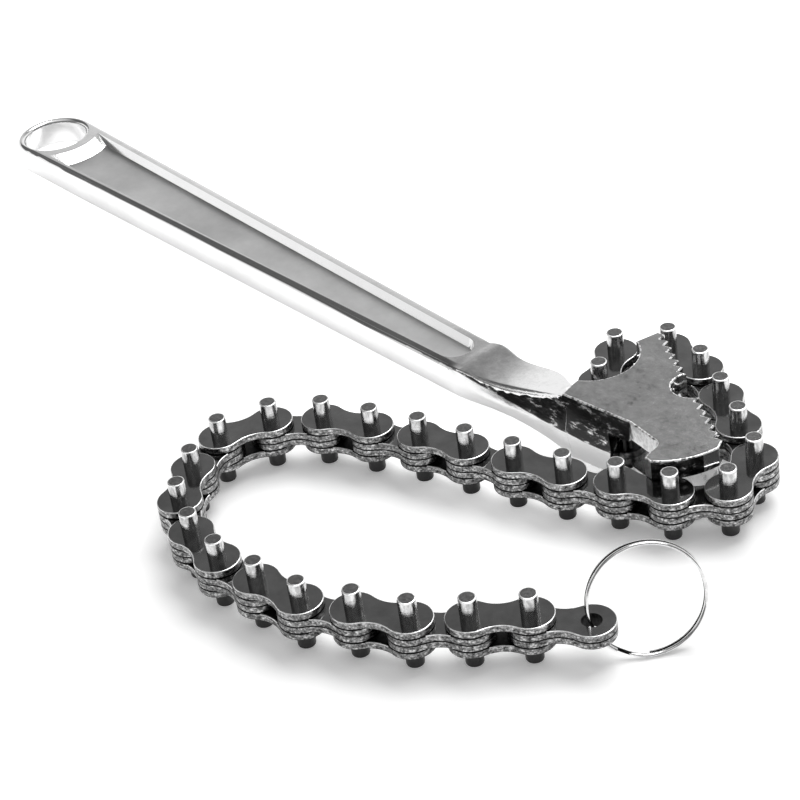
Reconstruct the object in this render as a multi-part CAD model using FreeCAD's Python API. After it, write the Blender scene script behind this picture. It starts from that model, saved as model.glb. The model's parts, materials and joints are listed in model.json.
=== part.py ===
import FreeCAD, Part
import math
import os

from FreeCAD import Vector

os.makedirs("parts", exist_ok=True)

# The frame: the origin is the centre of the hanging hole, on the wrench's middle plane.
# X runs along the handle towards the jaw, Y towards the pipe side, and Z is up.
# The wrench lies flat, so the chain's pins and every hinge stand along Z.

# Leaf chain, 5/8 inch pitch
PITCH = 15.875
PIN_DIAMETER = 5.1
PIN_LENGTH = 22.0
PIN_CHAMFER = 0.45
PLATE_HEIGHT = 13.3
PLATE_WAIST = 9.2
PLATE_THICKNESS = 2.2
PLATE_GAP = 0.1
RUNNING_CLEARANCE = 0.05
PRESS_CLEARANCE = 0.01

# Route of the chain as it lies: the heading of each link in degrees from the
# handle's axis, inner and outer links by turns. A link turns further out, by steps,
# where its pin would come nearer to the head than the standoff.
LINK_HEADINGS = [
    159, 118, 50, -9, -25, -29, -31, -74, -133, -157, -155, -161, -163, -162, -157,
    -155, -135, -109, -67, -50, -24, -9, 6, 9, 28, 27, 43, 47, 40,
]
PIN_STANDOFF = 0.3
TURN_STEP = 1

# Lengths along the handle: from the hanging hole to the root of the head, the neck
# that ends there, and the head that follows
HANDLE_LENGTH = 274.5
NECK_LENGTH = 42.5
HEAD_LENGTH = 54.0

# Handle: a forged bar with a round eye, sunk between two rims on both faces
BAR_THICKNESS = 9.8
EYE_RADIUS = 14.2
HANG_HOLE_DIAMETER = 22.8
HANG_HOLE_ROUNDING = 1.3
BAR_END = HANDLE_LENGTH - NECK_LENGTH
BAR_END_WIDTH = 18.0
BAR_CORNER = 1.2
RIM_WIDTH = 3.0
RECESS_DEPTH = 3.0
RECESS_DRAFT = 0.9
RECESS_EYE_RADIUS = 16.5
RECESS_EYE_SLOPE = 4.5
RECESS_END_MARGIN = 1.0

# Forged side walls lean out from both faces to a parting line at mid height
WALL_DRAFT = 10.0

# Neck: sections across the handle where it turns narrow and tall, as shares: place in
# the neck's length, near and far side in the bar's end width, growth from the bar's to
# the head's thickness, near and far corner radius in the bar's, and draft in the full one
NECK_SECTIONS = [
    (0.353, -0.400, 0.489, 0.016, 1.4, 0.8, 0.8),
    (0.612, -0.306, 0.533, 0.180, 1.8, 0.7, 1.0),
    (0.706, -0.267, 0.517, 0.295, 1.7, 0.7, 1.0),
    (0.824, -0.222, 0.422, 0.475, 1.5, 0.7, 1.0),
    (1.082, -0.128, 0.333, 1.000, 0.6, 0.6, 1.0),
]
BAR_DRAFT_SHARE = 0.5

# Head: one flat forging whose edge carries the jaw, the horns and the hook
JAW_ANGLE = -29.4
JAW_NOTCH_RADIUS = 6.3
TEETH_PER_LAND = 6
TOOTH_PITCH = 3.7
TOOTH_DEPTH = 1.9
SLIT_CLEARANCE = 0.3
SLIT_ROOT_CLEARANCE = 0.7
ANCHOR_BLIND_DEPTH = 3.8
ANCHOR_RECESS = 0.3

# Split ring in the last link
RING_WIRE_HEIGHT = 1.4
RING_WIRE_WIDTH = 0.95
RING_COIL_DIAMETER = 31.5
RING_COIL_GAP = 0.04
RING_CROSSING = 34.0
RING_CROSSING_ANGLE = 51.0
RING_AZIMUTH = 58.0
RING_LEAN = 15.0
RING_HOLE_DIAMETER = 5.7

UP = Vector(0, 0, 1)


def head_place(along, across):
    """A place on the head, in shares of its length, along the handle from its root and across."""
    return Vector(HANDLE_LENGTH + along * HEAD_LENGTH, across * HEAD_LENGTH, 0)


ANCHOR = head_place(0.2278, 0.1944)
JAW_CENTRE = head_place(0.5056, 0.4593)
HEAD_NECK_NEAR = head_place(0.0259, -0.0444)
HEAD_NECK_FAR = head_place(-0.0074, 0.0981)
HOOK_SHOULDER = head_place(0.4907, 0.0037)
HOOK_SEAT_NEAR = head_place(0.6944, -0.0259)
HOOK_SEAT_MIDDLE = head_place(0.7333, -0.0426)
HOOK_SEAT_FAR = head_place(0.7481, -0.0815)
HOOK_TIP_INNER = head_place(0.7685, -0.1704)
HOOK_TIP_OUTER = head_place(0.8167, -0.1759)
NEAR_HORN_MIDDLE = head_place(0.9426, -0.0370)
NEAR_HORN_CORNER = head_place(0.9981, 0.1333)
FAR_HORN_CORNER = head_place(0.0000, 0.7111)
FAR_HORN_BARB = head_place(-0.0296, 0.5722)
FAR_HOLLOW_MIDDLE = head_place(0.1315, 0.3148)

STACK = 4 * PLATE_THICKNESS + 2 * PLATE_GAP
SLIT_HEIGHT = STACK + 2 * SLIT_CLEARANCE
HEAD_THICKNESS = PIN_LENGTH
FLOOR = -PIN_LENGTH / 2


def direction(angle):
    """Unit vector at an angle in degrees from X, in the plane of the wrench."""
    return Vector(math.cos(math.radians(angle)), math.sin(math.radians(angle)), 0)


def chain_route():
    """Every hinge from the anchor pin to the ring's hole, and the heading of every link."""
    cheek = Part.Face(head_outline())
    reach = PIN_DIAMETER / 2 + PIN_STANDOFF
    points = [ANCHOR]
    headings = []
    for heading in LINK_HEADINGS:
        end = points[-1] + direction(heading) * PITCH
        while cheek.distToShape(Part.Vertex(end))[0] < reach:
            heading += TURN_STEP
            end = points[-1] + direction(heading) * PITCH
        points.append(end)
        headings.append(heading)
    return points, headings


def write(name, solids):
    """Write one sub-part, as one solid or as a group of separate solids."""
    shape = solids[0] if len(solids) == 1 else Part.makeCompound(solids)
    shape.exportStep("parts/" + name + ".step")


def line(start, end):
    return Part.LineSegment(start, end).toShape()


def arc(start, middle, end):
    return Part.Arc(start, middle, end).toShape()


def plate_outline(radius, waist):
    """Figure-eight outline of one chain plate, from the hinge at 0 to the hinge at PITCH."""
    half = PITCH / 2
    waist_radius = (half**2 + waist**2 - radius**2) / (2 * (radius - waist))
    reach = radius + waist_radius
    touch = Vector(half / reach * radius, (waist + waist_radius) / reach * radius, 0)
    left_top = Vector(touch.x, touch.y, 0)
    left_low = Vector(touch.x, -touch.y, 0)
    right_top = Vector(PITCH - touch.x, touch.y, 0)
    right_low = Vector(PITCH - touch.x, -touch.y, 0)
    edges = [
        arc(left_top, Vector(-radius, 0, 0), left_low),
        arc(left_low, Vector(half, -waist, 0), right_low),
        arc(right_low, Vector(PITCH + radius, 0, 0), right_top),
        arc(right_top, Vector(half, waist, 0), left_top),
    ]
    return Part.Face(Part.Wire(edges))


def plate(low, near_hole, far_hole):
    """One chain plate whose lower face lies at height low."""
    body = plate_outline(PLATE_HEIGHT / 2, PLATE_WAIST / 2).extrude(UP * PLATE_THICKNESS)
    for place, diameter in ((0, near_hole), (PITCH, far_hole)):
        body = body.cut(Part.makeCylinder(diameter / 2, PLATE_THICKNESS, Vector(place, 0, 0)))
    body.translate(UP * low)
    return body


def chain_pin(length, low):
    """A round pin with both end edges broken."""
    pin = Part.makeCylinder(PIN_DIAMETER / 2, length, UP * low)
    ends = [edge for edge in pin.Edges if isinstance(edge.Curve, Part.Circle)]
    return pin.makeChamfer(PIN_CHAMFER, ends)


def laid(shape, start, heading):
    """A copy of a shape made at the origin, laid along one link of the chain."""
    copy = shape.copy()
    copy.rotate(Vector(0, 0, 0), UP, heading)
    copy.translate(start)
    return copy


def inner_plates(last):
    """The two plates of an inner link, which lie face to face in the middle."""
    running = PIN_DIAMETER + 2 * RUNNING_CLEARANCE
    far = RING_HOLE_DIAMETER if last else running
    return [plate(low, running, far) for low in (-PLATE_THICKNESS, 0)]


def outer_plates():
    """The two plates of an outer link, above and below the inner ones."""
    pressed = PIN_DIAMETER + 2 * PRESS_CLEARANCE
    low = PLATE_THICKNESS + PLATE_GAP
    return [plate(z, pressed, pressed) for z in (-low - PLATE_THICKNESS, low)]


def write_chain(points, headings):
    """Every link of the chain where it lies."""
    pin = chain_pin(PIN_LENGTH, FLOOR)
    for index, heading in enumerate(headings):
        start = points[index]
        number = "%02d" % (index // 2 + 1)
        if index % 2 == 0:
            plates = inner_plates(index == len(headings) - 1)
            write("chain_inner_plates_" + number, [laid(each, start, heading) for each in plates])
        else:
            write("chain_outer_plates_" + number, [laid(each, start, heading) for each in outer_plates()])
            write("chain_pins_" + number, [laid(pin, place, 0) for place in (start, points[index + 1])])


def bulge(thickness, share):
    """How far a drafted wall of that thickness stands out at the parting line."""
    return share * thickness / 2 * math.tan(math.radians(WALL_DRAFT))


def neck_section(place, near, far, thickness, near_corner, far_corner, draft_share):
    """Section across the handle at one place along X: rounded corners and drafted walls."""
    top = thickness / 2
    out = bulge(thickness, draft_share)
    near_cut = near_corner * (1 - math.sqrt(0.5))
    far_cut = far_corner * (1 - math.sqrt(0.5))

    def at(y, z):
        return Vector(place, y, z)

    edges = [
        line(at(near + near_corner, -top), at(far - far_corner, -top)),
        arc(at(far - far_corner, -top), at(far - far_cut, -top + far_cut), at(far, -top + far_corner)),
        line(at(far, -top + far_corner), at(far + out, 0)),
        line(at(far + out, 0), at(far, top - far_corner)),
        arc(at(far, top - far_corner), at(far - far_cut, top - far_cut), at(far - far_corner, top)),
        line(at(far - far_corner, top), at(near + near_corner, top)),
        arc(at(near + near_corner, top), at(near + near_cut, top - near_cut), at(near, top - near_corner)),
        line(at(near, top - near_corner), at(near - out, 0)),
        line(at(near - out, 0), at(near, -top + near_corner)),
        arc(at(near, -top + near_corner), at(near + near_cut, -top + near_cut), at(near + near_corner, -top)),
    ]
    return Part.Wire(edges)


def bar_half_width(place):
    """Half the width of the tapered bar at one place along X."""
    return EYE_RADIUS + (BAR_END_WIDTH / 2 - EYE_RADIUS) * place / BAR_END


def bar_section(place, draft_share):
    """Section of the bar at one place along X."""
    half = bar_half_width(place)
    return neck_section(place, -half, half, BAR_THICKNESS, BAR_CORNER, BAR_CORNER, draft_share)


def handle_bar():
    """Eye and tapered bar with rounded edges."""
    eye = Part.makeCylinder(EYE_RADIUS, BAR_THICKNESS, Vector(0, 0, -BAR_THICKNESS / 2))
    rims = [edge for edge in eye.Edges if isinstance(edge.Curve, Part.Circle)]
    eye = eye.makeFillet(BAR_CORNER, rims)
    sections = [bar_section(0, 0), bar_section(BAR_END, BAR_DRAFT_SHARE)]
    return eye.fuse(Part.makeLoft(sections, True, True))


def neck():
    """Transition from the flat bar to the narrow, tall root of the head."""
    sections = [bar_section(BAR_END, BAR_DRAFT_SHARE)]
    for place, near, far, growth, near_corner, far_corner, draft_share in NECK_SECTIONS:
        sections.append(
            neck_section(
                BAR_END + place * NECK_LENGTH,
                near * BAR_END_WIDTH,
                far * BAR_END_WIDTH,
                BAR_THICKNESS + growth * (HEAD_THICKNESS - BAR_THICKNESS),
                near_corner * BAR_CORNER,
                far_corner * BAR_CORNER,
                draft_share,
            )
        )
    return Part.makeLoft(sections, True, False)


def near_wall():
    """Drafted near side of the head, from the neck to the hook's shoulder, where it ends square."""
    along = HOOK_SHOULDER - HEAD_NECK_NEAR
    outward = Vector(along.y, -along.x, 0).normalize()
    half = UP * (HEAD_THICKNESS / 2)
    out = outward * bulge(HEAD_THICKNESS, 1)
    corners = [HEAD_NECK_NEAR + half, HEAD_NECK_NEAR + out, HEAD_NECK_NEAR - half, HEAD_NECK_NEAR - out]
    return Part.Face(Part.makePolygon(corners + corners[:1])).extrude(along)


def recess_outline(inset, eye_radius, height):
    """Outline of the sunk panel: hollow towards the eye, a round nose towards the neck."""
    start_half = bar_half_width(eye_radius) - RIM_WIDTH - inset
    start = math.sqrt(eye_radius**2 - start_half**2)
    recess_end = BAR_END - RECESS_END_MARGIN
    nose = bar_half_width(recess_end) - RIM_WIDTH - inset
    end = recess_end - inset - nose
    edges = [
        line(Vector(start, -start_half, height), Vector(end, -nose, height)),
        arc(Vector(end, -nose, height), Vector(end + nose, 0, height), Vector(end, nose, height)),
        line(Vector(end, nose, height), Vector(start, start_half, height)),
        arc(Vector(start, start_half, height), Vector(eye_radius, 0, height), Vector(start, -start_half, height)),
    ]
    return Part.Wire(edges)


def recess():
    """Cutter for the upper sunk panel, with drafted walls and a sloping end at the eye."""
    floor = BAR_THICKNESS / 2 - RECESS_DEPTH
    low = recess_outline(RECESS_DRAFT, RECESS_EYE_RADIUS + RECESS_EYE_SLOPE, floor)
    high = recess_outline(0, RECESS_EYE_RADIUS, BAR_THICKNESS / 2)
    return Part.makeLoft([low, high], True, True)


def jaw_point(along, depth):
    """A point on the jaw line, at a distance from its centre and a depth into the head."""
    return JAW_CENTRE + direction(JAW_ANGLE) * along + direction(JAW_ANGLE - 90) * depth


def teeth(start, step):
    """Pointed teeth of one land, from its first tip on, and the last tip."""
    edges = []
    for index in range(TEETH_PER_LAND):
        tip = start + step * index * TOOTH_PITCH
        valley = jaw_point(tip + step * TOOTH_PITCH / 2, TOOTH_DEPTH)
        edges.append(line(jaw_point(tip, 0), valley))
        edges.append(line(valley, jaw_point(tip + step * TOOTH_PITCH, 0)))
    return edges


def head_outline():
    """Outline of the head, from the near side of the neck round to the far side."""
    land = TEETH_PER_LAND * TOOTH_PITCH
    near_tip = JAW_NOTCH_RADIUS + land
    far_tip = -near_tip
    edges = [
        line(HEAD_NECK_NEAR, HOOK_SHOULDER),
        line(HOOK_SHOULDER, HOOK_SEAT_NEAR),
        arc(HOOK_SEAT_NEAR, HOOK_SEAT_MIDDLE, HOOK_SEAT_FAR),
        line(HOOK_SEAT_FAR, HOOK_TIP_INNER),
        line(HOOK_TIP_INNER, HOOK_TIP_OUTER),
        arc(HOOK_TIP_OUTER, NEAR_HORN_MIDDLE, NEAR_HORN_CORNER),
        line(NEAR_HORN_CORNER, jaw_point(near_tip, 0)),
    ]
    edges += teeth(near_tip, -1)
    edges.append(
        arc(jaw_point(JAW_NOTCH_RADIUS, 0), jaw_point(0, JAW_NOTCH_RADIUS), jaw_point(-JAW_NOTCH_RADIUS, 0))
    )
    edges += teeth(-JAW_NOTCH_RADIUS, -1)
    edges += [
        line(jaw_point(far_tip, 0), FAR_HORN_CORNER),
        line(FAR_HORN_CORNER, FAR_HORN_BARB),
        arc(FAR_HORN_BARB, FAR_HOLLOW_MIDDLE, HEAD_NECK_FAR),
        line(HEAD_NECK_FAR, HEAD_NECK_NEAR),
    ]
    return Part.Wire(edges)


def head():
    """Head plate with its jaw, horns and hook."""
    outline = head_outline()
    outline.translate(Vector(0, 0, -HEAD_THICKNESS / 2))
    return Part.Face(outline).extrude(UP * HEAD_THICKNESS)


def slit():
    """Cutter for the slit between the two cheeks, whose root clears the anchored link."""
    root = PLATE_HEIGHT / 2 + SLIT_ROOT_CLEARANCE
    reach = 4 * PITCH
    box = Part.makeBox(2 * reach, reach, SLIT_HEIGHT, Vector(-reach, -root, -SLIT_HEIGHT / 2))
    box.rotate(Vector(0, 0, 0), UP, JAW_ANGLE)
    box.translate(ANCHOR)
    return box


def anchor_span():
    """Height where the anchor pin starts, and its length."""
    low = -HEAD_THICKNESS / 2 + ANCHOR_RECESS
    high = SLIT_HEIGHT / 2 + ANCHOR_BLIND_DEPTH
    return low, high - low


def forging():
    """Handle, neck and head in one piece."""
    body = handle_bar().fuse([neck(), head(), near_wall()]).removeSplitter()
    upper = recess()
    lower = upper.mirror(Vector(0, 0, 0), UP)
    hole = Part.makeCylinder(HANG_HOLE_DIAMETER / 2, BAR_THICKNESS, Vector(0, 0, -BAR_THICKNESS / 2))
    low, length = anchor_span()
    bore = Part.makeCylinder(
        PIN_DIAMETER / 2 + PRESS_CLEARANCE, length + ANCHOR_RECESS, ANCHOR + UP * (low - ANCHOR_RECESS)
    )
    body = body.cut([upper, lower, hole, slit(), bore])
    mouths = [
        edge
        for edge in body.Edges
        if isinstance(edge.Curve, Part.Circle)
        and abs(edge.Curve.Radius - HANG_HOLE_DIAMETER / 2) < 0.001
        and edge.Curve.Center.Length < BAR_THICKNESS
    ]
    return body.makeFillet(HANG_HOLE_ROUNDING, mouths)


def ring_coil(step, radius):
    """Oval wire that runs round twice in two level coils and crosses over once between them."""
    half = math.radians(RING_CROSSING / 2)

    def at(angle, height):
        return Vector(radius * math.cos(angle), radius * math.sin(angle), height)

    def forward(angle):
        return Vector(-math.sin(angle), math.cos(angle), 0)

    opposite = at(math.pi, -step / 2)
    slope = Part.BSplineCurve()
    slope.interpolate(
        Points=[at(-half, -step / 2), at(0, 0), at(half, step / 2)],
        InitialTangent=forward(-half),
        FinalTangent=forward(half),
    )
    first = arc(at(half, -step / 2), opposite, at(-half, -step / 2))
    second = arc(at(half, step / 2), opposite + UP * step, at(-half, step / 2))
    start = at(half, -step / 2)
    tall = start + UP * (RING_WIRE_HEIGHT / 2)
    wide = start + direction(RING_CROSSING / 2) * (RING_WIRE_WIDTH / 2)
    section = Part.Wire(Part.Ellipse(tall, wide, start).toShape())
    sweep = Part.BRepOffsetAPI.MakePipeShell(Part.Wire([first, slope.toShape(), second]))
    sweep.setBiNormalMode(UP)
    sweep.add(section)
    sweep.build()
    sweep.makeSolid()
    return sweep.shape()


def key_ring(hole):
    """Split ring that passes through the end link's hole and leans with its foot on the floor."""
    step = RING_WIRE_HEIGHT + RING_COIL_GAP
    radius = RING_COIL_DIAMETER / 2
    lean = math.radians(RING_LEAN)
    rise = radius * math.cos(lean)
    section_drop = math.hypot(RING_WIRE_WIDTH * math.cos(lean), RING_WIRE_HEIGHT * math.sin(lean)) / 2
    foot = section_drop + step / 2 * math.sin(lean)
    turn = math.asin((FLOOR + foot + rise) / rise)
    across = direction(RING_AZIMUTH)
    axis = direction(RING_AZIMUTH - 90)
    upward = UP * math.cos(lean) - axis * math.sin(lean)
    centre = hole + across * (radius * math.cos(turn)) + upward * (radius * math.sin(turn))

    ring = ring_coil(step, radius)
    ring.rotate(Vector(0, 0, 0), UP, 180 + math.degrees(turn) + RING_CROSSING_ANGLE)
    ring.rotate(Vector(0, 0, 0), Vector(1, 0, 0), 90 - RING_LEAN)
    ring.rotate(Vector(0, 0, 0), UP, RING_AZIMUTH)
    ring.translate(centre)
    return ring


def main():
    points, headings = chain_route()
    write("handle_forging", [forging()])
    low, length = anchor_span()
    write("anchor_pin", [laid(chain_pin(length, low), ANCHOR, 0)])
    write_chain(points, headings)
    write("key_ring", [key_ring(points[-1])])


main()
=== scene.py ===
import bpy
import json
import math
from mathutils import Matrix, Vector


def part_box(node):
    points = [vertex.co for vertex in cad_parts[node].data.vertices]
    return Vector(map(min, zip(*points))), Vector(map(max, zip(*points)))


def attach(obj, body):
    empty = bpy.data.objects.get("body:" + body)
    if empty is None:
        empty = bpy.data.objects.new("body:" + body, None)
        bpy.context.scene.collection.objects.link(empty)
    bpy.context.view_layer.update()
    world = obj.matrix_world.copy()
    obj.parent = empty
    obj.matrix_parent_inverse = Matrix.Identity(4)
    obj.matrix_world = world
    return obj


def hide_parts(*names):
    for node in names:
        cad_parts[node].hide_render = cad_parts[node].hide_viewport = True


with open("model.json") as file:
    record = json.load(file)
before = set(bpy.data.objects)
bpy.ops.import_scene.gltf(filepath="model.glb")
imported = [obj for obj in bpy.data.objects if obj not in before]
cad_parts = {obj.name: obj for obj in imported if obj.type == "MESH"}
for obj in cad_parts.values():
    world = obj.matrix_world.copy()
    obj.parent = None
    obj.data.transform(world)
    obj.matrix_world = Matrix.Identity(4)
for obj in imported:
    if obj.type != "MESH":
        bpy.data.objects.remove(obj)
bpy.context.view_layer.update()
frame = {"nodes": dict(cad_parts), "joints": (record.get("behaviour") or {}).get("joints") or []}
nodes = frame["nodes"]
hinges = [Vector(joint["pos_m"]) for joint in frame["joints"]]
linkCount = len(hinges) - 1
mm = 0.001


# small helpers for selecting and shaping

def clearSelection():
    if bpy.context.object and bpy.context.object.mode != "OBJECT":
        bpy.ops.object.mode_set(mode="OBJECT")
    bpy.ops.object.select_all(action="DESELECT")


def makeActive(piece):
    clearSelection()
    piece.select_set(True)
    bpy.context.view_layer.objects.active = piece


def settle(piece):
    # the place goes into the mesh, so the object stands at the origin
    makeActive(piece)
    bpy.ops.object.transform_apply(location=True, rotation=True, scale=True)


def openEdit(piece, mode):
    makeActive(piece)
    bpy.ops.object.mode_set(mode="EDIT")
    bpy.ops.mesh.select_mode(type=mode)


def facesByEdge(mesh):
    sides = {}
    for face in mesh.polygons:
        for key in face.edge_keys:
            sides.setdefault(key, []).append(face)
    return sides


def breakEdges(piece, wanted, width, steps):
    # wanted(ends of an edge, normals of its two faces) says whether the edge is bevelled
    openEdit(piece, "EDGE")
    bpy.ops.mesh.select_all(action="DESELECT")
    bpy.ops.object.mode_set(mode="OBJECT")
    mesh = piece.data
    sides = facesByEdge(mesh)
    for edge in mesh.edges:
        ends = [mesh.vertices[index].co.copy() for index in edge.vertices]
        normals = [face.normal.copy() for face in sides.get(edge.key, [])]
        edge.select = len(normals) == 2 and wanted(ends, normals)
    bpy.ops.object.mode_set(mode="EDIT")
    bpy.ops.mesh.bevel(offset=width, segments=steps, affect="EDGES", clamp_overlap=True)
    bpy.ops.object.mode_set(mode="OBJECT")


def paintFaces(piece, finishes, finishOf):
    # finishOf(centre, normal) gives a face's finish, one of the list
    piece.data.materials.clear()
    for finish in finishes:
        piece.data.materials.append(finish)
    for face in piece.data.polygons:
        face.material_index = finishes.index(finishOf(face.center, face.normal))


def smoothPiece(piece, degrees):
    # smooth where the surface bends gently, and level normals on the large flat faces
    flatFaceWeight = 90
    makeActive(piece)
    bpy.ops.object.shade_smooth_by_angle(angle=math.radians(degrees))
    level = piece.modifiers.new("level faces", "WEIGHTED_NORMAL")
    level.keep_sharp = True
    level.weight = flatFaceWeight
    bpy.ops.object.modifier_apply(modifier=level.name)


def copyPiece(piece, name):
    makeActive(piece)
    bpy.ops.object.duplicate()
    twin = bpy.context.object
    twin.name = name
    twin.parent = None
    return twin


def joinPieces(pieces, name):
    clearSelection()
    for piece in pieces:
        piece.select_set(True)
    bpy.context.view_layer.objects.active = pieces[0]
    bpy.ops.object.join()
    joined = bpy.context.object
    joined.name = name
    joined.data.name = name
    return joined


def finishNode(name, finish):
    materials = nodes[name].data.materials
    materials.clear()
    materials.append(finish)


# shader maths: an expression on sockets adds its Math nodes

class Socket:
    def __init__(self, tree, link):
        self.tree = tree
        self.link = link

    def maths(self, operation, *others, swap=False):
        node = self.tree.nodes.new("ShaderNodeMath")
        node.operation = operation
        terms = [self, *others]
        if swap:
            terms.reverse()
        for place, term in zip(node.inputs, terms):
            plug(self.tree, place, term)
        return Socket(self.tree, node.outputs[0])

    def __add__(self, other):
        return self.maths("ADD", other)

    def __radd__(self, other):
        return self.maths("ADD", other)

    def __sub__(self, other):
        return self.maths("SUBTRACT", other)

    def __rsub__(self, other):
        return self.maths("SUBTRACT", other, swap=True)

    def __mul__(self, other):
        return self.maths("MULTIPLY", other)

    def __rmul__(self, other):
        return self.maths("MULTIPLY", other)

    def __truediv__(self, other):
        return self.maths("DIVIDE", other)

    def __rtruediv__(self, other):
        return self.maths("DIVIDE", other, swap=True)

    def __pow__(self, other):
        return self.maths("POWER", other)

    def __rpow__(self, other):
        return self.maths("POWER", other, swap=True)

    def __gt__(self, other):
        return self.maths("GREATER_THAN", other)

    def __lt__(self, other):
        # the reflected form of the one above
        return self.maths("LESS_THAN", other)

    def __abs__(self):
        return self.maths("ABSOLUTE")

    def atMost(self, limit):
        return self.maths("MINIMUM", limit)

    def atLeast(self, limit):
        return self.maths("MAXIMUM", limit)


def plug(tree, place, value):
    if isinstance(value, Socket):
        tree.links.new(value.link, place)
    else:
        place.default_value = value


def grey(value):
    return (value, value, value, 1)


class Shade:
    def __init__(self, owner):
        self.owner = owner
        owner.use_nodes = True
        self.tree = owner.node_tree
        self.tree.nodes.clear()

    def add(self, kind, settings=None, inputs=None, output=0):
        node = self.tree.nodes.new(kind)
        for key, value in (settings or {}).items():
            if key == "stops":
                self.setStops(node.color_ramp, value)
            else:
                setattr(node, key, value)
        for key, value in (inputs or {}).items():
            plug(self.tree, node.inputs[key], value)
        return Socket(self.tree, node.outputs[output]) if node.outputs else None

    def setStops(self, ramp, stops):
        while len(ramp.elements) < len(stops):
            ramp.elements.new(1)
        for element, (position, tone) in zip(ramp.elements, stops):
            element.position = position
            element.color = grey(tone)

    def place(self, size=(1, 1, 1), turn=(0, 0, 0)):
        where = self.add("ShaderNodeTexCoord", output="Object")
        return self.add("ShaderNodeMapping", {}, {"Vector": where, "Scale": size, "Rotation": turn})

    def axis(self, name):
        where = self.add("ShaderNodeTexCoord", output="Object")
        return self.add("ShaderNodeSeparateXYZ", {}, {"Vector": where}, output=name)

    def noise(self, grain, where=None):
        scale, detail, rough = grain
        where = where or self.place()
        inputs = {"Vector": where, "Scale": scale, "Detail": detail, "Roughness": rough}
        return self.add("ShaderNodeTexNoise", {}, inputs, output="Fac")

    def ramp(self, value, tones):
        return self.add("ShaderNodeValToRGB", {"stops": tones}, {"Fac": value}, output="Color")

    def blend(self, amount, first, second):
        # a colour Mix node has its factor in socket 0 and its colours in 6 and 7
        inputs = {0: amount, 6: first, 7: second}
        return self.add("ShaderNodeMix", {"data_type": "RGBA"}, inputs, output=2)

    def dot(self, vector, side):
        settings = {"operation": "DOT_PRODUCT"}
        return self.add("ShaderNodeVectorMath", settings, {0: vector, 1: side}, output="Value")

    def share(self, value, edges):
        # rises from 0 at the first edge to 1 at the second
        inputs = {"Value": value, "From Min": edges[0], "From Max": edges[1]}
        return self.add("ShaderNodeMapRange", {}, inputs)

    def bump(self, height, relief, under=None):
        inputs = {"Height": height, "Strength": relief[0], "Distance": relief[1]}
        if under:
            inputs["Normal"] = under
        return self.add("ShaderNodeBump", {}, inputs)

    def metal(self, colour, roughness, normal=None):
        inputs = {"Base Color": colour, "Roughness": roughness, "Metallic": 1.0}
        if normal:
            inputs["Normal"] = normal
        surface = self.add("ShaderNodeBsdfPrincipled", {}, inputs)
        self.add("ShaderNodeOutputMaterial", {}, {"Surface": surface})
        return self.owner


# finishes: a noise has a scale, a detail and a roughness, tones are places on a ramp with
# their greys, and relief is a bump's strength and depth

trueHeight = (1.0, 1.0)   # the relief of a bump whose height is in metres


def startFinish(name):
    return Shade(bpy.data.materials.new(name))


def chromeFinish():
    look = dict(
        clouds=(38, 5, 0.6),
        fine=(900, 2, 0.5),
        tones=[(0.3, 0.83), (0.7, 0.93)],
        rough=0.075,
        roughChange=0.07,
        waves=(0.15, 0.0003),
        peel=(0.3, 0.00002),
    )
    shade = startFinish("chromePlating")
    clouds = shade.noise(look["clouds"])
    fine = shade.noise(look["fine"])
    colour = shade.ramp(clouds, look["tones"])
    roughness = clouds * look["roughChange"] + look["rough"]
    normal = shade.bump(fine, look["peel"], shade.bump(clouds, look["waves"]))
    return shade.metal(colour, roughness, normal)


def recessFinish():
    look = dict(
        clouds=(24, 6, 0.65),
        grain=(1600, 2, 0.5),
        tones=[(0.32, 0.48), (0.68, 0.72)],
        rough=0.3,
        roughChange=0.08,
        relief=(0.4, 0.00003),
    )
    shade = startFinish("satinRecess")
    clouds = shade.noise(look["clouds"])
    grain = shade.noise(look["grain"])
    colour = shade.ramp(clouds, look["tones"])
    roughness = clouds * look["roughChange"] + look["rough"]
    return shade.metal(colour, roughness, shade.bump(grain, look["relief"]))


def recessWallFinish():
    # the sunk panel's walls roll over, so they mirror the bright sky low behind the tool
    look = dict(
        clouds=(60, 4, 0.6),
        tones=[(0.3, 0.93), (0.7, 0.99)],
        rough=0.12,
        roughChange=0.05,
        roll=-0.28,
    )
    shade = startFinish("rolledRecessWall")
    clouds = shade.noise(look["clouds"])
    roll = abs(shade.axis("Z")) * look["roll"]
    colour = shade.ramp(clouds, look["tones"])
    roughness = clouds * look["roughChange"] + look["rough"]
    return shade.metal(colour, roughness, shade.bump(roll, trueHeight))


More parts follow.
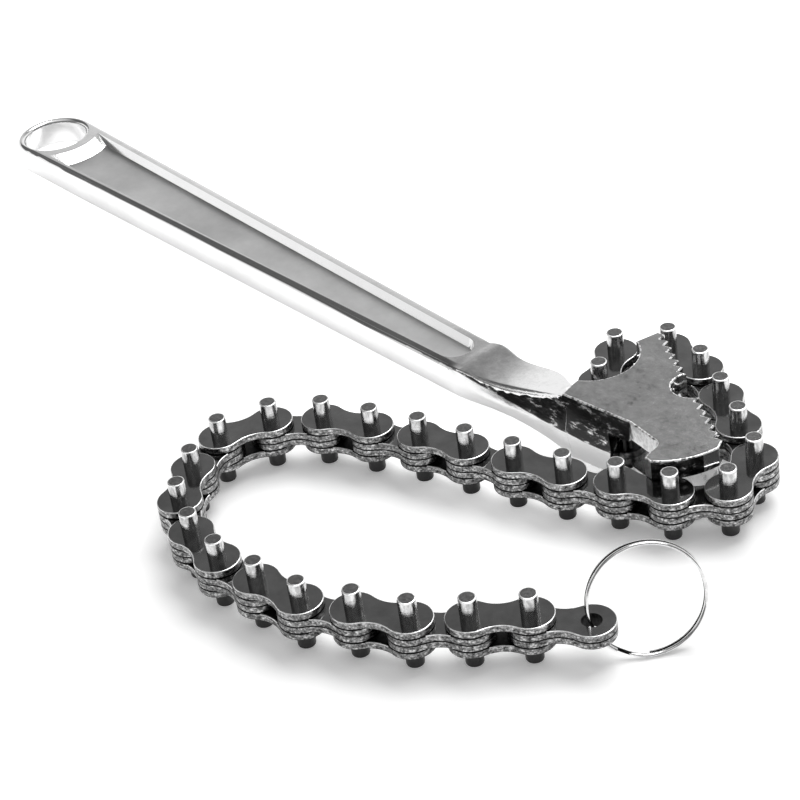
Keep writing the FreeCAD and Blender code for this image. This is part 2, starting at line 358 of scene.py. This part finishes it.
def rimTopFinish():
    # the near rim falls away towards its outer side, and the colour is darker where the
    # sunk panel ends
    look = dict(
        clouds=(110, 6, 0.7),
        specks=(700, 4, 0.7),
        darkestAt=0.238,
        fullToneBy=0.024,       # this far from the darkest place the lightening is full
        lighteningShare=0.55,
        cloudShare=0.6,
        speckShare=0.35,
        tones=[(0.25, 0.42), (0.85, 0.9)],
        rough=0.09,
        roughChange=0.08,
        fall=0.32,
        fallFrom=0.0123,     # how far out the fall starts at the eye
        fallTaper=0.0288,    # and how much nearer to the middle, per metre along
        fallBlend=0.0003,
        fallEnd=0.236,
        fadeBy=0.008,
        waves=(0.12, 0.0003),
    )
    shade = startFinish("polishedRimTop")
    clouds = shade.noise(look["clouds"])
    specks = shade.noise(look["specks"])
    along = shade.axis("X")
    lightening = (abs(along - look["darkestAt"]) / look["fullToneBy"]).atMost(1.0)
    clear = lightening * look["lighteningShare"] + clouds * look["cloudShare"]
    clear = clear + (specks - 0.5) * look["speckShare"]
    colour = shade.ramp(clear, look["tones"])
    inner = look["fallFrom"] - along * look["fallTaper"]
    outwards = (0 - shade.axis("Y") - inner).atLeast(0.0)
    fade = ((look["fallEnd"] - along) / look["fadeBy"]).atMost(1.0).atLeast(0.0)
    rounded = (outwards * outwards + look["fallBlend"]**2)**0.5
    height = rounded * (fade * -look["fall"])
    normal = shade.bump(height, trueHeight, shade.bump(clouds, look["waves"]))
    roughness = clouds * look["roughChange"] + look["rough"]
    return shade.metal(colour, roughness, normal)


def neckEdgeFinish():
    # the neck's near edge rolls over, so it mirrors the bright side
    look = dict(tone=0.95, rough=0.16, roll=0.45)
    shade = startFinish("rolledNeckEdge")
    roll = abs(shade.axis("Z")) * look["roll"]
    return shade.metal(grey(look["tone"]), look["rough"], shade.bump(roll, trueHeight))


def wornEdgeFinish():
    look = dict(
        beads=(900, 2, 0.5),
        tones=[(0.4, 0.2), (0.5, 0.97)],
        rough=0.36,
        roughChange=0.1,
        relief=(0.5, 0.0002),
    )
    shade = startFinish("beadedWornEdge")
    beads = shade.noise(look["beads"])
    colour = shade.ramp(beads, look["tones"])
    roughness = beads * look["roughChange"] + look["rough"]
    return shade.metal(colour, roughness, shade.bump(beads, look["relief"]))


def headFinish():
    look = dict(
        patches=(120, 8, 0.78),
        blotches=(620, 6, 0.7),
        streaks=(320, 4, 0.6),
        streakSize=(1, 4, 1),
        streakTurn=28,       # degrees
        patchShare=0.6,
        blotchShare=0.28,
        streakShare=0.12,
        tones=[(0.34, 0.17), (0.46, 0.37), (0.64, 0.47)],
        rough=0.1,
        roughChange=0.2,
        relief=(0.2, 0.0002),
    )
    shade = startFinish("mottledHeadFace")
    patches = shade.noise(look["patches"])
    blotches = shade.noise(look["blotches"])
    turned = shade.place(look["streakSize"], (0, 0, math.radians(look["streakTurn"])))
    streaks = shade.noise(look["streaks"], turned)
    mixed = patches * look["patchShare"] + blotches * look["blotchShare"]
    mixed = mixed + streaks * look["streakShare"]
    colour = shade.ramp(mixed, look["tones"])
    roughness = mixed * look["roughChange"] + look["rough"]
    return shade.metal(colour, roughness, shade.bump(mixed, look["relief"]))


def darkWallFinish():
    # painted dark reflection with bright spots above the parting line, which drops from the neck to
    # the head
    look = dict(
        waves=(200, 3, 0.5),
        spots=(240, 5, 0.7),
        spotSize=(1, 1, 2.6),
        paintedReflectionTones=[(0.5, 0.03), (0.57, 0.08), (0.62, 0.5), (0.66, 0.9)],
        plainMetal=0.88,
        rough=0.12,
        roughChange=0.2,
        neckFrom=0.235,
        partingFrom=0.0042,  # the line's height at the neck
        partingFall=0.13,    # its fall per metre
        partingLow=-0.0022,  # its lowest height
        wander=0.0008,
        soft=0.0004,
        relief=(0.35, 0.0003),
    )
    shade = startFinish("nearWallPaintedReflection")
    waves = shade.noise(look["waves"])
    spots = shade.noise(look["spots"], shade.place(look["spotSize"]))
    # the painted reflection: near black with bright spots
    scale = shade.ramp(spots, look["paintedReflectionTones"])
    fall = (shade.axis("X") - look["neckFrom"]) * look["partingFall"]
    line = (look["partingFrom"] - fall).atLeast(look["partingLow"])
    above = (shade.axis("Z") - line + (waves - 0.5) * look["wander"]) / look["soft"]
    colour = shade.blend(above.atMost(1.0).atLeast(0.0), grey(look["plainMetal"]), scale)
    roughness = waves * look["roughChange"] + look["rough"]
    return shade.metal(colour, roughness, shade.bump(spots, look["relief"]))


def plateFaceFinish():
    look = dict(
        clouds=(160, 5, 0.6),
        fine=(1500, 3, 0.6),
        tones=[(0.3, 0.18), (0.7, 0.25)],
        rough=0.06,
        cloudRough=0.06,
        fineRough=0.03,
        relief=(0.1, 0.00001),
    )
    shade = startFinish("darkPlateFace")
    clouds = shade.noise(look["clouds"])
    fine = shade.noise(look["fine"])
    colour = shade.ramp(clouds, look["tones"])
    roughness = clouds * look["cloudRough"] + fine * look["fineRough"] + look["rough"]
    return shade.metal(colour, roughness, shade.bump(fine, look["relief"]))


def plateEdgeFinish():
    look = dict(
        smears=(620, 4, 0.7),
        smearSize=(1, 1, 1.8),
        smearShare=0.6,
        specks=(1500, 2, 0.6),
        speckShare=0.4,
        tones=[(0.36, 0.015), (0.45, 0.11), (0.53, 0.25), (0.62, 0.7)],
        rough=0.2,
        roughChange=0.2,
        relief=(0.5, 0.0001),
    )
    shade = startFinish("shearedPlateEdge")
    smears = shade.noise(look["smears"], shade.place(look["smearSize"]))
    specks = shade.noise(look["specks"])
    mixed = smears * look["smearShare"] + specks * look["speckShare"]
    colour = shade.ramp(mixed, look["tones"])
    roughness = mixed * look["roughChange"] + look["rough"]
    return shade.metal(colour, roughness, shade.bump(mixed, look["relief"]))


def gapFinish():
    # painted shade: the plates' inward faces, hidden rims and bores, which only see each other, are
    # near black
    look = dict(
        paintedShade=(800, 3, 0.6),
        tones=[(0.35, 0.012), (0.65, 0.04)],
        rough=0.45,
        roughChange=0.1,
    )
    shade = startFinish("paintedGapShade")
    paintedShade = shade.noise(look["paintedShade"])
    colour = shade.ramp(paintedShade, look["tones"])
    return shade.metal(colour, paintedShade * look["roughChange"] + look["rough"])


def rimFinish():
    look = dict(
        wear=(900, 4, 0.6),
        tones=[(0.35, 0.62), (0.6, 0.95)],
        rough=0.24,
        roughChange=0.12,
    )
    shade = startFinish("brightRim")
    wear = shade.noise(look["wear"])
    colour = shade.ramp(wear, look["tones"])
    return shade.metal(colour, wear * look["roughChange"] + look["rough"])


def pinSideFinish():
    # painted shade: the pin's foot, under the chain, is coloured dark
    look = dict(
        rings=(160, 4, 0.65),
        ringSize=(4, 4, 1.5),
        tones=[(0.35, 0.35), (0.65, 0.84)],
        grinding=(100, 2, 0.6),
        grindingSize=(1, 1, 90),
        footFrom=-0.0046,
        foot=0.06,
        footRough=0.35,
        rough=0.08,
        roughChange=0.06,
        grooves=(1.0, 0.00002),
    )
    shade = startFinish("polishedPinSide")
    rings = shade.noise(look["rings"], shade.place(look["ringSize"]))
    polished = shade.ramp(rings, look["tones"])
    grinding = shade.noise(look["grinding"], shade.place(look["grindingSize"]))
    # below this height the pin side takes the painted shade
    upper = shade.axis("Z") > look["footFrom"]
    colour = shade.blend(upper, grey(look["foot"]), polished)
    polish = upper * (look["footRough"] - look["rough"])
    roughness = rings * look["roughChange"] + look["footRough"] - polish
    return shade.metal(colour, roughness, shade.bump(grinding, look["grooves"]))


def pinEndFinish():
    look = dict(
        marks=(1100, 5, 0.7),
        tones=[(0.34, 0.16), (0.66, 0.3)],
        rough=0.1,
        roughChange=0.16,
        relief=(0.3, 0.00004),
    )
    shade = startFinish("groundPinEnd")
    marks = shade.noise(look["marks"])
    colour = shade.ramp(marks, look["tones"])
    roughness = marks * look["roughChange"] + look["rough"]
    return shade.metal(colour, roughness, shade.bump(marks, look["relief"]))


def ringFinish():
    # painted shade: the groove where the two coils meet, half way across the ring, is near black
    look = dict(
        clouds=(500, 4, 0.6),
        tones=[(0.35, 0.66), (0.65, 0.86)],
        paintedShade=0.01,
        rough=0.04,
        roughChange=0.1,
        axis=(0.8191, -0.5118, 0.2588),
        coil=0.01575,        # radius to the middle of the wire
        crest=0.00045,       # the groove shows no further from that radius
        groove=0.00045,      # half its width
    )
    shade = startFinish("nickelRingWire")
    clouds = shade.noise(look["clouds"])
    metal = shade.ramp(clouds, look["tones"])
    low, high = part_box("key_ring")
    centre = (Vector(low) + Vector(high)) / 2
    where = shade.add("ShaderNodeTexCoord", output="Object")
    offset = shade.add("ShaderNodeVectorMath", {"operation": "SUBTRACT"}, {0: where, 1: centre})
    across = shade.dot(offset, look["axis"])
    reach = shade.add("ShaderNodeVectorMath", {"operation": "LENGTH"}, {0: offset}, output="Value")
    radius = (reach * reach - across * across)**0.5
    offCrest = abs(radius - look["coil"]) > look["crest"]
    # outside the groove the plain metal shows, inside it the painted shade
    plainMetal = (abs(across) > look["groove"]).atLeast(offCrest)
    colour = shade.blend(plainMetal, grey(look["paintedShade"]), metal)
    return shade.metal(colour, clouds * look["roughChange"] + look["rough"])


def floorFinish():
    # the floor gives off a little light; beside the handle the camera sees painted light, which hides
    # the handle's shadow
    look = dict(
        albedo=0.92,
        glow=0.25,
        seenChange=-0.01,              # how the glow changes for the camera
        paintedLightByHandle=0.6,
        handleSide=(-0.045, -0.018),   # where that glow begins and is full, across the tool
        handleEnd=(0.31, 0.26),        # and along it
    )
    shade = startFinish("paleFloor")
    paper = shade.add("ShaderNodeBsdfDiffuse", {}, {"Color": grey(look["albedo"])})
    across = shade.share(shade.axis("Y"), look["handleSide"])
    along = shade.share(shade.axis("X"), look["handleEnd"])
    seen = shade.add("ShaderNodeLightPath", output="Is Camera Ray")
    seenGlow = across * along * look["paintedLightByHandle"] + look["seenChange"]
    strength = seen * seenGlow + look["glow"]
    glow = shade.add("ShaderNodeEmission", {}, {"Color": grey(1.0), "Strength": strength})
    both = shade.add("ShaderNodeAddShader", {}, {0: paper, 1: glow})
    shade.add("ShaderNodeOutputMaterial", {}, {"Surface": both})
    return shade.owner


chrome = chromeFinish()
satinRecess = recessFinish()
recessWall = recessWallFinish()
rimTop = rimTopFinish()
neckEdge = neckEdgeFinish()
wornEdge = wornEdgeFinish()
mottledHead = headFinish()
paintedReflectionWall = darkWallFinish()
plateFace = plateFaceFinish()
plateEdge = plateEdgeFinish()
brightRim = rimFinish()
paintedGapShade = gapFinish()
pinSide = pinSideFinish()
pinEnd = pinEndFinish()
ringNickel = ringFinish()
print("finishes made")


# the forged handle and head

forgingSettings = dict(
    merge=0.000002,
    flatAngle=0.03,               # degrees
    near=0.0001,                  # a face this near to a height counts as on it
    level=0.97,                   # a face is level where its normal rises more than this
    headFrom=0.2745,              # where the head's flat faces start
    headTop=0.011,
    softEdge=0.00045,
    softSteps=3,
    softAngle=50,                 # degrees; edges of the flat faces that bend more are broken
    softLevel=0.99,
    softNear=0.00002,
    wornSlope=0.15,
    wornDepth=0.0006,
    recessFloor=0.0019,
    recessRise=0.0004,
    recessEnd=0.24,
    wallIn=0.0022,                # from the handle's side to the sunk panel's walls
    wallTopGap=0.00005,
    eyeReach=0.013,
    barTop=0.0049,
    barEnd=0.235,
    barHalf=(0.01395, -0.0214),   # half width at the eye, and its change per metre
    neckFrom=0.214,
    neckLevel=0.6,
    neckEdgeSlope=(0.3, 0.94),
    neckEdgeSide=-0.3,
    reflectionFrom=0.2315,
    reflectionSide=0.012,              # the wall with the painted reflection lies on this side of it
    reflectionLean=-0.35,
    reflectionSlope=0.75,
    seat=(0.3012, 0.318),         # the hook's light seat walls
    smoothAngle=32,
)


def shapeForging(settings):
    piece = copyPiece(nodes["handle_forging"], "forged_handle")
    openEdit(piece, "VERT")
    bpy.ops.mesh.select_all(action="SELECT")
    bpy.ops.mesh.remove_doubles(threshold=settings["merge"])
    bpy.ops.mesh.dissolve_limited(angle_limit=math.radians(settings["flatAngle"]))
    bpy.ops.object.mode_set(mode="OBJECT")

    top = settings["headTop"]
    near = settings["near"]
    level = settings["level"]

    def outerRim(ends, normals):
        flat = max(abs(normals[0].z), abs(normals[1].z)) > settings["softLevel"]
        sharp = normals[0].angle(normals[1]) > math.radians(settings["softAngle"])
        onFace = all(abs(abs(end.z) - top) < settings["softNear"] for end in ends)
        return flat and sharp and onFace

    breakEdges(piece, outerRim, settings["softEdge"], settings["softSteps"])

    def onRecessWall(centre, slope):
        start, change = settings["barHalf"]
        lowest = settings["recessFloor"] - near
        highest = settings["barTop"] - settings["wallTopGap"]
        inside = abs(centre.y) < start + change * centre.x - settings["wallIn"]
        beyondEye = math.hypot(centre.x, centre.y) > settings["eyeReach"]
        onLength = 0 < centre.x < settings["barEnd"]
        return inside and beyondEye and onLength and lowest < abs(centre.z) < highest and slope < level

    # the near wall's faces, which get the painted reflection
    def onNearWall(centre, normal):
        nearSide = centre.x > settings["reflectionFrom"] and centre.y < settings["reflectionSide"]
        return nearSide and normal.y < settings["reflectionLean"] and abs(normal.z) < settings["reflectionSlope"]

    def finishOf(centre, normal):
        height = abs(centre.z)
        slope = abs(normal.z)
        onFloor = height < settings["recessFloor"] + settings["recessRise"]
        if slope > level and height > top - near and centre.x > settings["headFrom"]:
            return mottledHead
        if slope > level and onFloor and centre.x < settings["recessEnd"]:
            return satinRecess
        if onRecessWall(centre, slope):
            return recessWall
        if centre.x > settings["headFrom"]:
            if settings["wornSlope"] < slope < level and height > top - settings["wornDepth"]:
                return wornEdge
        elif centre.x > settings["neckFrom"]:
            low, high = settings["neckEdgeSlope"]
            nearEdge = low < normal.z < high and normal.y < settings["neckEdgeSide"]
            if nearEdge and centre.x > settings["barEnd"]:
                return neckEdge
            if slope > settings["neckLevel"]:
                return rimTop
        elif slope > level and height > settings["barTop"] - near:
            return rimTop
        # the near wall takes the painted reflection above its parting line, all but the hook's seat
        # walls
        if not onNearWall(centre, normal):
            return chrome
        seatFrom, seatTo = settings["seat"]
        return brightRim if seatFrom < centre.x < seatTo else paintedReflectionWall

    finishes = [
        chrome, mottledHead, satinRecess, recessWall, paintedReflectionWall,
        wornEdge, rimTop, brightRim, neckEdge,
    ]
    paintFaces(piece, finishes, finishOf)

    # the sunk panel's walls meet what is beside them in a crisp edge
    wallPlace = finishes.index(recessWall)
    sides = facesByEdge(piece.data)
    for edge in piece.data.edges:
        onWall = [face.material_index == wallPlace for face in sides.get(edge.key, [])]
        edge.use_edge_sharp = any(onWall) and not all(onWall)
    smoothPiece(piece, settings["smoothAngle"])
    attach(piece, "wrench")
    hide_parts("handle_forging")


shapeForging(forgingSettings)
finishNode("anchor_pin", pinSide)
print("forged handle shaped")


# chain plates: six patterns are punched once, then a copy is laid in each place

plateSettings = dict(
    pitch=15.875 * mm,
    lobe=6.65 * mm,
    waist=4.6 * mm,
    thickness=2.2 * mm,
    lobeSteps=26,
    waistSteps=12,
    holeSteps=32,
    merge=0.001 * mm,
    rim=0.24 * mm,
    rimSteps=2,
    rimAngle=50,             # degrees
    boreReach=3.1 * mm,      # nearer to a hinge than this is bore, not outline
    level=0.98,
    upright=0.05,
    smoothAngle=15,
    innerHole=2.6 * mm,
    outerHole=2.56 * mm,
    ringHole=2.85 * mm,
    innerLow=(-2.2 * mm, 0.0),
    outerLow=(-4.5 * mm, 2.3 * mm),
)


def punchPlate(name, holes, covered, inward, settings):
    # covered lists the hinges whose lobes lie under another plate, or says "all",
    # and inward is the face, 1 above or -1 below, that looks into the chain
    half = settings["pitch"] / 2
    lobe = settings["lobe"]
    waist = settings["waist"]
    hollow = (half**2 + waist**2 - lobe**2) / (2 * (lobe - waist))
    reach = lobe + hollow
    touch = Vector((half / reach * lobe, (waist + hollow) / reach * lobe, 0))
    lobeTurn = 2 * math.pi - 2 * math.atan2(touch.y, touch.x)
    waistTurn = -2 * math.atan2(half - touch.x, waist + hollow - touch.y)

    # one point is spun round both lobes and both waists
    clearSelection()
    bpy.ops.mesh.primitive_plane_add(size=mm, location=(0, 0, 0))
    piece = bpy.context.object
    piece.name = name
    openEdit(piece, "VERT")
    bpy.ops.mesh.select_all(action="SELECT")
    bpy.ops.mesh.merge(type="CENTER")
    bpy.ops.transform.translate(value=touch)
    turns = [
        (lobeTurn, (0, 0, 0), settings["lobeSteps"]),
        (waistTurn, (half, -waist - hollow, 0), settings["waistSteps"]),
        (lobeTurn, (2 * half, 0, 0), settings["lobeSteps"]),
        (waistTurn, (half, waist + hollow, 0), settings["waistSteps"]),
    ]
    for angle, centre, steps in turns:
        bpy.ops.mesh.spin(steps=steps, angle=-angle, center=centre, axis=(0, 0, 1))
    bpy.ops.mesh.select_all(action="SELECT")
    bpy.ops.mesh.remove_doubles(threshold=settings["merge"])
    for place, radius in zip((0, 2 * half), holes):
        bpy.ops.mesh.primitive_circle_add(
            vertices=settings["holeSteps"], radius=radius, location=(place, 0, 0))
    bpy.ops.mesh.select_all(action="SELECT")
    bpy.ops.mesh.fill(use_beauty=True)
    bpy.ops.mesh.select_all(action="SELECT")
    lift = {"value": (0, 0, settings["thickness"])}
    bpy.ops.mesh.extrude_region_move(TRANSFORM_OT_translate=lift)
    bpy.ops.mesh.select_all(action="SELECT")
    bpy.ops.mesh.normals_make_consistent(inside=False)
    bpy.ops.object.mode_set(mode="OBJECT")

    centres = [Vector((0, 0)), Vector((2 * half, 0))]

    def fromHinge(point, hinge):
        return (Vector((point.x, point.y)) - centres[hinge]).length

    def inBore(point):
        return min(fromHinge(point, 0), fromHinge(point, 1)) < settings["boreReach"]

    def onOutline(ends, normals):
        sharp = normals[0].angle(normals[1]) > math.radians(settings["rimAngle"])
        return sharp and not any(inBore(end) for end in ends)

    breakEdges(piece, onOutline, settings["rim"], settings["rimSteps"])

    def seenRim(centre):
        shown = lobe + settings["rim"]
        return covered != "all" and all(fromHinge(centre, hinge) > shown for hinge in covered)

    # inward faces, bores and the rims that face down or lie covered get the painted gap shade
    def finishOf(centre, normal):
        if abs(normal.z) > settings["level"]:
            return paintedGapShade if normal.z * inward > 0 else plateFace
        if inBore(centre):
            return paintedGapShade
        if abs(normal.z) < settings["upright"]:
            return plateEdge
        return brightRim if normal.z > 0 and seenRim(centre) else paintedGapShade

    paintFaces(piece, [plateFace, plateEdge, brightRim, paintedGapShade], finishOf)
    smoothPiece(piece, settings["smoothAngle"])
    return piece


def layAlong(piece, start, end, height):
    turn = math.atan2(end.y - start.y, end.x - start.x)
    place = Matrix.Translation(start + Vector((0, 0, height)))
    piece.matrix_world = place @ Matrix.Rotation(turn, 4, "Z")
    settle(piece)


def layPlates(settings):
    inner = (settings["innerHole"], settings["innerHole"])
    outer = (settings["outerHole"], settings["outerHole"])
    last = (settings["innerHole"], settings["ringHole"])
    patterns = {
        "inner": [
            punchPlate("inner_low", inner, "all", 1, settings),
            punchPlate("inner_high", inner, (0, 1), -1, settings),
        ],
        "outer": [
            punchPlate("outer_low", outer, (0, 1), 1, settings),
            punchPlate("outer_high", outer, (), -1, settings),
        ],
        "last": [
            punchPlate("last_low", last, "all", 1, settings),
            punchPlate("last_high", last, (0,), -1, settings),
        ],
    }
    for link in range(linkCount):
        number = link // 2 + 1
        kind = "inner" if link % 2 == 0 else "outer"
        pattern = patterns["last" if link == linkCount - 1 else kind]
        pair = []
        for source, height in zip(pattern, settings[kind + "Low"]):
            plate = copyPiece(source, "plate")
            layAlong(plate, hinges[link], hinges[link + 1], height)
            pair.append(plate)
        plates = joinPieces(pair, "%s_plates_%02d" % (kind, number))
        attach(plates, "%s_link_%02d" % (kind, number))
        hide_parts("chain_%s_plates_%02d" % (kind, number))
    for pattern in patterns.values():
        for source in pattern:
            bpy.data.objects.remove(source)


layPlates(plateSettings)
print("chain plates laid", linkCount)


# chain pins

pinSettings = dict(
    radius=2.55 * mm,
    length=22 * mm,
    sides=48,
    chamfer=0.42 * mm,
    chamferSteps=2,
    chamferProfile=0.55,
    edgeAngle=60,            # degrees
    level=0.98,
    upright=0.05,
    smoothAngle=35,
)


def turnPin(settings):
    clearSelection()
    bpy.ops.mesh.primitive_cylinder_add(
        vertices=settings["sides"], radius=settings["radius"], depth=settings["length"],
        location=(0, 0, 0))
    pin = bpy.context.object
    pin.name = "pin_pattern"
    openEdit(pin, "EDGE")
    bpy.ops.mesh.select_all(action="DESELECT")
    bpy.ops.mesh.edges_select_sharp(sharpness=math.radians(settings["edgeAngle"]))
    bpy.ops.mesh.bevel(
        offset=settings["chamfer"], segments=settings["chamferSteps"],
        profile=settings["chamferProfile"], affect="EDGES")
    bpy.ops.object.mode_set(mode="OBJECT")

    def finishOf(centre, normal):
        if abs(normal.z) > settings["level"]:
            return pinEnd
        return brightRim if normal.z > settings["upright"] else pinSide

    paintFaces(pin, [pinSide, pinEnd, brightRim], finishOf)
    smoothPiece(pin, settings["smoothAngle"])
    return pin


def setPins(settings):
    # an outer link's two pins are one piece
    pattern = turnPin(settings)
    links = range(1, linkCount, 2)
    for number, link in enumerate(links, 1):
        pair = []
        for hinge in (hinges[link], hinges[link + 1]):
            pin = copyPiece(pattern, "pin")
            pin.location = hinge
            settle(pin)
            pair.append(pin)
        pins = joinPieces(pair, "link_pins_%02d" % number)
        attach(pins, "outer_link_%02d" % number)
        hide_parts("chain_pins_%02d" % number)
    bpy.data.objects.remove(pattern)
    print("chain pins set", 2 * len(links))


setPins(pinSettings)


# key ring

finishNode("key_ring", ringNickel)
print("key ring finished")


# floor, light and camera

stageSettings = dict(
    floorHeight=-0.011,
    floorSize=12.0,
    farSide=(-0.81, 0.59, 0.0),        # the side that the camera looks towards
    farEdges=(-0.25, 0.25),
    farSky=[(0.0, 0.8), (0.50, 0.95), (0.70, 0.95), (0.75, 0.62),
            (0.785, 0.42), (0.82, 0.34), (0.87, 0.34), (0.94, 0.7)],
    nearSky=[(0.0, 0.5), (0.49, 0.3), (0.51, 0.18), (0.60, 0.18),
             (0.80, 0.22), (0.88, 0.35), (0.96, 0.9)],
    leftSide=(-0.6, -0.8, 0.0),        # the side that the near rim mirrors
    leftEdges=(0.09, 0.24),
    leftSky=[(0.0, 0.8), (0.50, 0.95), (0.68, 0.95), (0.72, 0.12), (0.90, 0.10), (0.96, 0.5)],
    keyPlace=(0.17, 0.62, 1.3),
    keyAim=(0.17, 0.10, 0.0),
    keySize=(1.3, 0.9),
    keyPower=17.0,
    cameraPlace=(0.6966, -0.3625, 0.3887),
    cameraRight=(0.64301, 0.75657, -0.11893),
    cameraUp=(-0.36517, 0.43937, 0.82074),
    lens=104.06,
    sensor=36,
    clipStart=0.01,
)


def layFloor(settings):
    clearSelection()
    bpy.ops.mesh.primitive_plane_add(size=settings["floorSize"], location=(0, 0, 0))
    floor = bpy.context.object
    floor.name = "floor"
    floor.location.z = settings["floorHeight"]
    settle(floor)
    floor.data.materials.append(floorFinish())


def lightWorld(settings):
    # a sky's ramp goes from straight down, 0, over the horizon, 0.5, to straight up, 1
    world = bpy.data.worlds.new("studioLight")
    bpy.context.scene.world = world
    shade = Shade(world)
    where = shade.add("ShaderNodeTexCoord", output="Generated")
    rise = shade.add("ShaderNodeSeparateXYZ", {}, {"Vector": where}, output="Z")
    height = rise * 0.5 + 0.5
    far = shade.share(shade.dot(where, settings["farSide"]), settings["farEdges"])
    left = shade.share(shade.dot(where, settings["leftSide"]), settings["leftEdges"])
    farSky = shade.ramp(height, settings["farSky"])
    leftSky = shade.ramp(height, settings["leftSky"])
    nearSky = shade.ramp(height, settings["nearSky"])
    sky = shade.blend(far, nearSky, shade.blend(left, farSky, leftSky))
    lit = shade.add("ShaderNodeBackground", {}, {"Color": sky, "Strength": 1.0})
    white = shade.add("ShaderNodeBackground", {}, {"Color": grey(1.0), "Strength": 1.0})
    seen = shade.add("ShaderNodeLightPath", output="Is Camera Ray")
    both = shade.add("ShaderNodeMixShader", {}, {0: seen, 1: lit, 2: white})
    shade.add("ShaderNodeOutputWorld", {}, {"Surface": both})


def hangLamp(settings):
    place = Vector(settings["keyPlace"])
    turn = (Vector(settings["keyAim"]) - place).to_track_quat("-Z", "Y").to_euler()
    bpy.ops.object.light_add(type="AREA", location=place, rotation=turn)
    lamp = bpy.context.object
    lamp.name = "softboxAbove"
    lamp.data.shape = "RECTANGLE"
    lamp.data.size, lamp.data.size_y = settings["keySize"]
    lamp.data.energy = settings["keyPower"]


def setCamera(settings):
    right = Vector(settings["cameraRight"])
    up = Vector(settings["cameraUp"])
    back = right.cross(up)
    turn = Matrix((right, up, back)).transposed().to_euler()
    bpy.ops.object.camera_add(location=settings["cameraPlace"], rotation=turn)
    camera = bpy.context.object
    camera.data.sensor_width = settings["sensor"]
    camera.data.lens = settings["lens"]
    camera.data.clip_start = settings["clipStart"]
    bpy.context.scene.camera = camera


layFloor(stageSettings)
lightWorld(stageSettings)
hangLamp(stageSettings)
setCamera(stageSettings)
bpy.context.scene.view_settings.view_transform = "Standard"
print("stage set")
